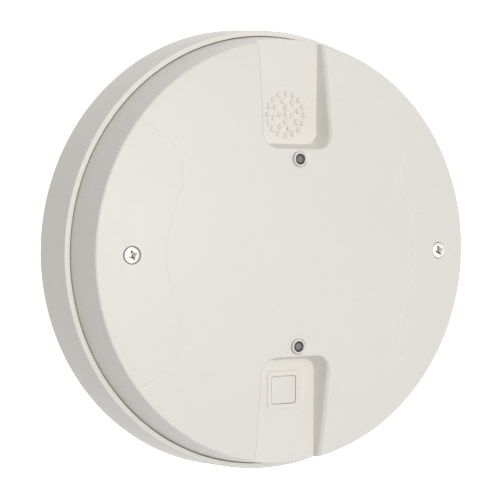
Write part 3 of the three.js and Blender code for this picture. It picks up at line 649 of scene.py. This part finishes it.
def softened(profile, closed):
    """A profile of (radius, depth, rounding) with its corners turned into small curves."""
    made = []
    count = len(profile)
    for i, (radius, depth, rounding) in enumerate(profile):
        here = Vector((radius, depth))
        ends = i in (0, count - 1) and not closed
        if ends or not rounding:
            made.append(here)
            continue
        before = Vector(profile[i - 1][:2]) - here
        after = Vector(profile[(i + 1) % count][:2]) - here
        half = before.angle(after) / 2
        reach = rounding / math.tan(half)
        reach = min(reach, 0.48 * before.length, 0.48 * after.length)
        start, end = here + before.normalized() * reach, here + after.normalized() * reach
        for t in np.linspace(0, 1, 6):
            made.append(start * (1 - t) ** 2 + here * 2 * t * (1 - t) + end * t * t)
    return made


def lathe(name, profile, x=0.0, z=0.0, stations=64):
    """A round piece about an axis along Y, from (radius, depth, rounding) corners. A profile that
    starts and ends on the axis is closed by it, and any other closes on itself."""
    on_axis = profile[0][0] == 0 and profile[-1][0] == 0
    points = softened(profile, closed=not on_axis)
    vertices, rows = [], []
    for radius, depth in points:
        if radius < 1e-6:
            rows.append([len(vertices)] * stations)
            vertices.append((x, -depth, z))
        else:
            rows.append(list(range(len(vertices), len(vertices) + stations)))
            ring = circle(x, z, radius, stations)
            vertices += [(px, -depth, pz) for px, pz in ring]
    faces = []
    pairs = list(zip(rows, rows[1:]))
    if not on_axis:
        pairs.append((rows[-1], rows[0]))
    for a, b in pairs:
        for face in strip(a, b):
            face = list(dict.fromkeys(face))
            if len(face) > 2:
                faces.append(face)
    return new_object(name, vertices, faces)


def prism(name, outline, from_depth, to_depth, end_outline=None):
    """A closed slab from an outline in plan, or between it and another one in front of it."""
    count = len(outline)
    vertices = [(x, -from_depth, z) for x, z in outline]
    vertices += [(x, -to_depth, z) for x, z in (outline if end_outline is None else end_outline)]
    faces = [list(range(count))[::-1], list(range(count, 2 * count))]
    faces += strip(list(range(count)), list(range(count, 2 * count)))
    return new_object(name, vertices, faces)


def carve(target, cutters, operation="DIFFERENCE"):
    """Cuts target by the cutters, or joins them to it, and removes them."""
    for cutter in cutters:
        modifier = target.modifiers.new("cut", "BOOLEAN")
        modifier.object, modifier.operation, modifier.solver = cutter, operation, "EXACT"
    bpy.context.view_layer.update()
    evaluated = target.evaluated_get(bpy.context.evaluated_depsgraph_get())
    mesh = bpy.data.meshes.new_from_object(evaluated)
    target.modifiers.clear()
    old, target.data = target.data, mesh
    bpy.data.meshes.remove(old)
    for cutter in cutters:
        bpy.data.objects.remove(cutter)
    target.data.shade_smooth()
    target.data.set_sharp_from_angle(angle=SHARP_ANGLE)
    return target


def box_outline(width, tall, x=0.0, z=0.0, turn=0.0):
    """A rectangle in plan, turned by an angle in radians."""
    corners = np.array(((-1, -1), (1, -1), (1, 1), (-1, 1))) * (width / 2, tall / 2)
    c, s = math.cos(turn), math.sin(turn)
    return corners @ np.array(((c, s), (-s, c))) + (x, z)


# ---------- materials ----------


class Look:
    """A node material whose colour, roughness and fine relief vary over the piece."""

    def __init__(self, name, color, roughness, metallic=0.0):
        self.material = bpy.data.materials.new(name)
        self.material.use_nodes = True
        self.tree = self.material.node_tree
        self.shader = self.tree.nodes["Principled BSDF"]
        self.color = (*color, 1)
        self.shader.inputs["Metallic"].default_value = metallic
        self.coordinates = self.node("ShaderNodeTexCoord").outputs["Object"]
        self.vary_roughness(roughness)

    def node(self, kind, **values):
        """A new node with some of its properties set."""
        made = self.tree.nodes.new(kind)
        for key, value in values.items():
            setattr(made, key, value)
        return made

    def link(self, a, b):
        self.tree.links.new(a, b)

    def noise(self, scale, detail=3.0):
        """Noise fixed to the piece. The scale is in cycles a metre."""
        texture = self.node("ShaderNodeTexNoise")
        texture.inputs["Scale"].default_value = scale
        texture.inputs["Detail"].default_value = detail
        self.link(self.coordinates, texture.inputs["Vector"])
        return texture.outputs["Fac"]

    def ranged(self, value, low, high):
        """Noise, most of which lies between 0.3 and 0.7, spread from low to high."""
        node = self.node("ShaderNodeMapRange")
        node.inputs["From Min"].default_value = 0.3
        node.inputs["From Max"].default_value = 0.7
        node.inputs["To Min"].default_value = low
        node.inputs["To Max"].default_value = high
        self.link(value, node.inputs["Value"])
        return node.outputs["Result"]

    def vary_roughness(self, roughness, spread=0.06, scale=260.0):
        """A roughness that strays a little either side of the one given."""
        value = self.ranged(self.noise(scale), roughness - spread, roughness + spread)
        self.link(value, self.shader.inputs["Roughness"])

    def tint(self, shade, scale):
        """The colour, drifting towards a slightly darker one over the piece."""
        mix = self.node("ShaderNodeMix", data_type="RGBA")
        mix.inputs[6].default_value = self.color
        mix.inputs[7].default_value = (*(c * shade for c in self.color[:3]), 1)
        self.link(self.ranged(self.noise(scale, 4.0), 0, 1), mix.inputs[0])
        self.link(mix.outputs[2], self.shader.inputs["Base Color"])

    def grain(self, scale, height):
        """Fine relief, height in millimetres."""
        bump = self.node("ShaderNodeBump")
        bump.inputs["Distance"].default_value = height * MM
        bump.inputs["Strength"].default_value = 1.0
        self.link(self.noise(scale, 2.0), bump.inputs["Height"])
        self.link(bump.outputs["Normal"], self.shader.inputs["Normal"])


FINE = (2600, 0.012)  # the usual grain: scale, and height in millimetres

# colour, roughness, metallic, (shade and scale of the tint), grain
FINISHES = {
    "white_plastic": ((0.80, 0.778, 0.728), 0.44, 0, (0.985, 22), FINE),
    "rubber": ((0.03, 0.03, 0.033), 0.75, 0, (0.7, 22), (1800, 0.02)),
    "foam": ((0.07, 0.07, 0.075), 0.95, 0, (0.6, 300), (900, 0.12)),
    "circuit_board": ((0.014, 0.16, 0.07), 0.35, 0, (0.7, 60), FINE),
    "bright_steel": ((0.66, 0.65, 0.615), 0.24, 1, (0.9, 90), FINE),
    "brass": ((0.62, 0.43, 0.15), 0.3, 1, (0.85, 60), FINE),
    "black_plastic": ((0.015, 0.016, 0.018), 0.45, 0, (0.7, 22), FINE),
    "capacitor_sleeve": ((0.02, 0.03, 0.07), 0.3, 0, (0.8, 22), FINE),
    "terminal_plastic": ((0.05, 0.26, 0.1), 0.4, 0, (0.85, 22), FINE),
    "led_resin": ((0.5, 0.04, 0.04), 0.15, 0, (0.8, 200), (1200, 0.004)),
    "red_lead": ((0.45, 0.02, 0.015), 0.4, 0, (0.85, 80), FINE),
    "black_lead": ((0.02, 0.02, 0.022), 0.4, 0, (0.7, 80), FINE),
    "cell_wrap": ((0.03, 0.14, 0.36), 0.28, 0, (0.8, 40), (900, 0.006)),
    "membrane": ((0.6, 0.6, 0.57), 0.7, 0, (0.9, 200), (1500, 0.03)),
}
WHITE_SPECULAR = 0.42


def plain_looks():
    """One material for each finish, by the record's slot."""
    looks = {}
    for slot, (color, roughness, metallic, tint, grain) in FINISHES.items():
        looks[slot] = Look(slot, color, roughness, metallic)
        looks[slot].tint(*tint)
        looks[slot].grain(*grain)
    white = looks["white_plastic"].shader
    white.inputs["Specular IOR Level"].default_value = WHITE_SPECULAR
    return looks


LOOKS = plain_looks()


def finish_piece(obj, slot, body, node, look=None):
    """Gives a piece its material and its body, in place of a CAD node."""
    obj.data.materials.clear()
    obj.data.materials.append((look or LOOKS[slot]).material)
    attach(obj, body)
    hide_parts(node)


# ---------- base ----------


def keyhole_cutters(x, z):
    """A round hole for a wall screw's head, and the slot that it hangs in."""
    width, length = KEYHOLE_SLOT
    round_hole = circle(x, z, KEYHOLE_RADIUS, 40)
    slot = rounded_outline(width, length, width / 2, 0, x, z + width / 2, arc=10)
    return [
        prism("hole", round_hole, -1, FLOOR + 1),
        prism("slot", slot, -1.1, FLOOR + 1.1),
    ]


def rear_base():
    """The tray, with a ribbed pocket in its back, keyholes and the cable's hole."""
    shell = lathe(
        "siren_base",
        [
            (0, 0, 0),
            (BASE_RADIUS, 0, 0.8),
            (RIM_RADIUS, RIM_DEPTH, 0.75),
            (RIM_INNER_RADIUS, RIM_DEPTH, 0.25),
            (RIM_INNER_RADIUS, LEDGE_DEPTH, 0.3),
            (BASE_INNER_RADIUS, LEDGE_DEPTH, 0.4),
            (BASE_INNER_RADIUS, FLOOR, 1.5),
            (0, FLOOR, 0),
        ],
        stations=ROUND,
    )
    # cutters overshoot by unlike amounts, so that no two of their faces coincide
    inner, outer, deep = BACK_POCKET
    corners = [(inner, -1, 0), (outer, -1, 0), (outer, deep, 0), (inner, deep, 0)]
    pocket = lathe("pocket", corners, stations=144)
    ribs = []
    for i in range(BACK_RIBS):
        turn = math.pi / BACK_RIBS * (i + 0.5)
        ribs.append(prism("rib", box_outline(BACK_RIB_WIDTH, 2 * RIM_RADIUS, turn=turn), -2, 3))
    for x, z in KEYHOLES:
        ribs.append(prism("pad", circle(x, z + KEYHOLE_PAD_RISE, KEYHOLE_PAD, 40), -2.1, 3.1))
    ribs.append(prism("pad", circle(0, CABLE_Z, CABLE_PAD, 48), -2.1, 3.1))
    carve(pocket, ribs)
    cutters = [pocket]
    for x, z in KEYHOLES:
        cutters += keyhole_cutters(x, z)
    cutters.append(prism("cable", circle(0, CABLE_Z, CABLE_RADIUS, 48), -1, FLOOR + 1))
    flange = circle(0, CABLE_Z, CABLE_FLANGE_RADIUS, 48)
    cutters.append(prism("flange", flange, -1.2, deep))
    return carve(shell, cutters)


finish_piece(rear_base(), "white_plastic", "base", "rear_base")
finish_piece(cover_shell(), "white_plastic", "cover", "front_cover")


# ---------- screws, lenses and badge ----------


def thread(x, tip, thread_end):
    """A ridge wound round the screw's core, that fades out at both ends."""
    stations, fading, half = 24, 20, 0.33
    steps = int((thread_end - tip - 2) / SCREW_PITCH) * stations
    foot = SCREW_CORE - 0.25
    vertices, faces = [], []
    for i in range(steps + 1):
        angle = 2 * math.pi * i / stations
        depth = tip + 1.6 + SCREW_PITCH * i / stations
        fade = min(1, i / fading, (steps - i) / fading)
        crest = SCREW_CORE + fade * (SCREW_CREST - SCREW_CORE)
        for radius, shift in ((foot, -half), (crest, 0), (foot, half)):
            y = -(depth + shift)
            vertices.append((x + radius * math.cos(angle), y, radius * math.sin(angle)))
    for i in range(steps):
        a, b = 3 * i, 3 * i + 3
        for j in range(3):
            k = (j + 1) % 3
            faces.append((a + j, a + k, b + k, b + j))
    faces += [(0, 1, 2), (3 * steps, 3 * steps + 2, 3 * steps + 1)]
    return new_object("ridge", vertices, faces)


def cross_cutters(x, front):
    """Two tapered arms and a dimple, for a Phillips recess."""
    cutters = []
    for turn in (SCREW_TURN, SCREW_TURN + math.pi / 2):
        foot = box_outline(*CROSS_FOOT, x, 0, turn)
        mouth = box_outline(*CROSS_MOUTH, x, 0, turn)
        cutters.append(prism("arm", foot, front - CROSS_DEPTH, front + CROSS_REACH, mouth))
    radius, deep = CROSS_DIMPLE
    corners = [(0, front - deep, 0), (radius, front + 0.1, 0), (0, front + 0.1, 0)]
    cutters.append(lathe("dimple", corners, x, stations=24))
    return cutters


def cover_screw(side):
    """A pan head with a Phillips recess on a threaded shank."""
    name = "cover_screw_" + ("right" if side > 0 else "left")
    x = side * SCREW_X
    low, high = span("cover_screw_right", "y")
    tip, front = -high, -low
    seat = SCREW_SEAT + RIM_DEPTH + 0.2
    thread_end = tip + SCREW_THREAD
    head = lathe(
        name + "_visual",
        [
            (0, tip, 0),
            (0.5, tip, 0.2),
            (SCREW_CORE, tip + 1.8, 0.3),
            (SCREW_CORE, thread_end, 0.2),
            (SCREW_CREST, thread_end + 0.6, 0.2),
            (SCREW_CREST, seat, 0.2),
            (SCREW_HEAD_RADIUS, seat, 0.15),
            (SCREW_HEAD_RADIUS, front - 0.55, 0.25),
            (2.9, front - 0.16, 0.5),
            (1.7, front, 1.0),
            (0, front, 0),
        ],
        x,
        stations=56,
    )
    ridge = thread(x, tip, thread_end)
    carve(head, cross_cutters(x, front))
    carve(head, [ridge], "UNION")
    finish_piece(head, "bright_steel", name, name)


# painted light on a lens, each grey with its place: 0 at the edge and 1 at the middle. The lighter
# greys towards the middle are painted light seen in the smoky lens, and the near black at the edge
# is painted shade.
LENS_PAINTED_LIGHT = ((0.0, 0.012), (0.26, 0.015), (0.42, 0.16), (0.62, 0.24), (0.8, 0.16), (1.0, 0.3))


def lens_look(name, z):
    """Glossy dark plastic with painted light on it: grey rings of painted light round the lens's
    middle, and painted shade near black at its edge.
    """
    look = Look(name + "_look", (0.02, 0.02, 0.02), 0.16)
    offset = look.node("ShaderNodeMapping")
    offset.inputs["Location"].default_value = (0, 0, -z * MM)
    flattened = look.node("ShaderNodeMapping")
    flattened.inputs["Scale"].default_value = (1 / (LENS_SPREAD * MM), 0, 1 / (LENS_SPREAD * MM))
    ball = look.node("ShaderNodeTexGradient", gradient_type="SPHERICAL")
    ramp = look.node("ShaderNodeValToRGB")
    look.link(look.coordinates, offset.inputs["Vector"])
    look.link(offset.outputs["Vector"], flattened.inputs["Vector"])
    look.link(flattened.outputs["Vector"], ball.inputs["Vector"])
    look.link(ball.outputs["Fac"], ramp.inputs["Fac"])
    # the ramp paints the light in the lens and the shade at its edge into its colour
    look.link(ramp.outputs["Color"], look.shader.inputs["Base Color"])
    stops = ramp.color_ramp.elements
    while len(stops) < len(LENS_PAINTED_LIGHT):
        stops.new(0.5)
    for stop, (place, grey) in zip(stops, LENS_PAINTED_LIGHT):
        stop.position = place
        stop.color = (grey, grey * 0.97, grey * 0.95, 1)
    return look


def lens(name, side):
    """A light pipe with a flange and a dished front."""
    low, high = span(name, "y")
    back, front = -high, -low
    flange_front = SLEEVE_HEIGHT + RIM_DEPTH - 0.2
    flange_back = flange_front - LENS_FLANGE_THICKNESS
    made = lathe(
        name + "_visual",
        [
            (0, back, 0),
            (LENS_RADIUS, back, 0.3),
            (LENS_RADIUS, flange_back, 0.1),
            (LENS_FLANGE_RADIUS, flange_back, 0.2),
            (LENS_FLANGE_RADIUS, flange_front, 0.2),
            (LENS_RADIUS, flange_front, 0.1),
            (LENS_RADIUS, front - 0.05, 0.12),
            (1.85, front, 0.1),
            (1.35, front - 0.35, 0.2),
            (0, front - 0.12, 0),
        ],
        0,
        side * LENS_Z,
        40,
    )
    finish_piece(made, "lens_plastic", "cover", name, lens_look(name, side * LENS_Z))


def badge():
    """A blank square plate with softened edges."""
    low, high = span("badge_plate", "y")
    rows = ((0, -high), (0, -low - 0.25), (-0.08, -low - 0.07), (-0.28, -low))  # growth, depth
    vertices, faces = [], []
    rings = []
    for grow, depth in rows:
        outline = badge_outline(grow)
        rings.append(list(range(len(vertices), len(vertices) + len(outline))))
        vertices += [(x, -depth, z) for x, z in outline]
    for a, b in zip(rings, rings[1:]):
        faces += strip(a, b)
    faces += [rings[0][::-1], rings[-1]]
    plate = new_object("badge_visual", vertices, faces)
    finish_piece(plate, "white_plastic", "cover", "badge_plate")


for side in (-1, 1):
    cover_screw(side)
lens("lens_upper", 1)
lens("lens_lower", -1)
badge()


# ---------- the CAD nodes that stay ----------


def dress_nodes():
    """Materials by slot, and rounded edges, for the nodes that are shown as the CAD has them."""
    slots = {part["node"]: part["material_slot"] for part in frame["record"]["subparts"]}
    for name, node in frame["nodes"].items():
        if node.hide_render:
            continue
        node.data.materials.clear()
        node.data.materials.append(LOOKS[slots[name]].material)
        node.data.shade_smooth()
        node.data.set_sharp_from_angle(angle=SHARP_ANGLE)
        bevel = node.modifiers.new("soft edges", "BEVEL")
        bevel.width = min(BEVEL * MM, BEVEL_SHARE * min(node.dimensions))
        bevel.segments = 2
        bevel.limit_method = "ANGLE"
        bevel.angle_limit = BEVEL_ANGLE
        bevel.harden_normals = True


dress_nodes()


# ---------- stage, light and camera ----------

PALE_GLOW = 1.0
STUDIO_RADIUS = 6.0  # metres
FLOOR_LEVEL = -0.6  # metres
WORLD_STRENGTH = 0.45
VIEW_ANGLE = 18  # degrees across the picture
CAMERA_PLACE = Vector((-338.47, -618.37, 28.23)) * MM
CAMERA_RIGHT = Vector((0.87539, -0.48335, 0.00763))
CAMERA_UP = Vector((0.01308, 0.03947, 0.99914))
KEY_LIGHT = {"azimuth": -3, "elevation": 6, "strength": 0.45}
TOP_LIGHT = {"azimuth": -30, "elevation": 72, "strength": 0.03}
LIGHT_DISTANCE = 2.2  # metres
LIGHT_SIZE = 1.2  # metres across


def pale(name, vertices, faces):
    """A stage surface that glows near white for the camera and in reflections, and neither
    lights the siren otherwise nor shades it."""
    mesh = bpy.data.meshes.new(name)
    mesh.from_pydata(vertices, [], faces)
    made = bpy.data.objects.new(name, mesh)
    bpy.context.scene.collection.objects.link(made)
    look = bpy.data.materials.new(name)
    look.use_nodes = True
    shader = look.node_tree.nodes["Principled BSDF"]
    shader.inputs["Base Color"].default_value = (0.9, 0.9, 0.89, 1)
    shader.inputs["Roughness"].default_value = 0.9
    shader.inputs["Emission Color"].default_value = (1, 1, 1, 1)
    shader.inputs["Emission Strength"].default_value = PALE_GLOW
    mesh.materials.append(look)
    made.visible_diffuse = made.visible_shadow = False


def stage():
    """A pale floor well below the siren, inside a pale round studio."""
    r, low = STUDIO_RADIUS, FLOOR_LEVEL
    pale("floor", [(-r, -r, low), (r, -r, low), (r, r, low), (-r, r, low)], [(0, 1, 2, 3)])
    work = bmesh.new()
    bmesh.ops.create_icosphere(work, subdivisions=4, radius=r)
    vertices = [tuple(v.co) for v in work.verts]
    faces = [[v.index for v in f.verts][::-1] for f in work.faces]
    work.free()
    pale("studio", vertices, faces)


def soft_light(name, azimuth, elevation, strength):
    """A round soft light. Strength is what it adds to a white surface that faces it."""
    data = bpy.data.lights.new(name, "AREA")
    data.shape, data.size = "DISK", LIGHT_SIZE
    data.energy = strength * math.pi**2 * LIGHT_DISTANCE**2
    lamp = bpy.data.objects.new(name, data)
    a, e = math.radians(azimuth), math.radians(elevation)
    way = Vector((math.sin(a) * math.cos(e), -math.cos(a) * math.cos(e), math.sin(e)))
    lamp.location = way * LIGHT_DISTANCE
    lamp.rotation_euler = way.to_track_quat("Z", "Y").to_euler()
    bpy.context.scene.collection.objects.link(lamp)


def world():
    """Even light from all round."""
    made = bpy.data.worlds.new("studio")
    made.use_nodes = True
    background = made.node_tree.nodes["Background"]
    background.inputs["Color"].default_value = (1, 0.995, 0.985, 1)
    background.inputs["Strength"].default_value = WORLD_STRENGTH
    bpy.context.scene.world = made


def camera():
    """A camera in front of the siren and to its left, near its height."""
    data = bpy.data.cameras.new("camera")
    data.sensor_width = 36
    data.lens = data.sensor_width / 2 / math.tan(math.radians(VIEW_ANGLE / 2))
    data.clip_start, data.clip_end = 0.01, 50
    made = bpy.data.objects.new("camera", data)
    right, up = CAMERA_RIGHT.normalized(), CAMERA_UP.normalized()
    turn = Matrix((right, up, right.cross(up))).transposed()
    made.matrix_world = Matrix.Translation(CAMERA_PLACE) @ turn.to_4x4()
    bpy.context.scene.collection.objects.link(made)
    bpy.context.scene.camera = made


stage()
world()
soft_light("key", **KEY_LIGHT)
soft_light("top", **TOP_LIGHT)
camera()
bpy.context.scene.view_settings.view_transform = "Standard"
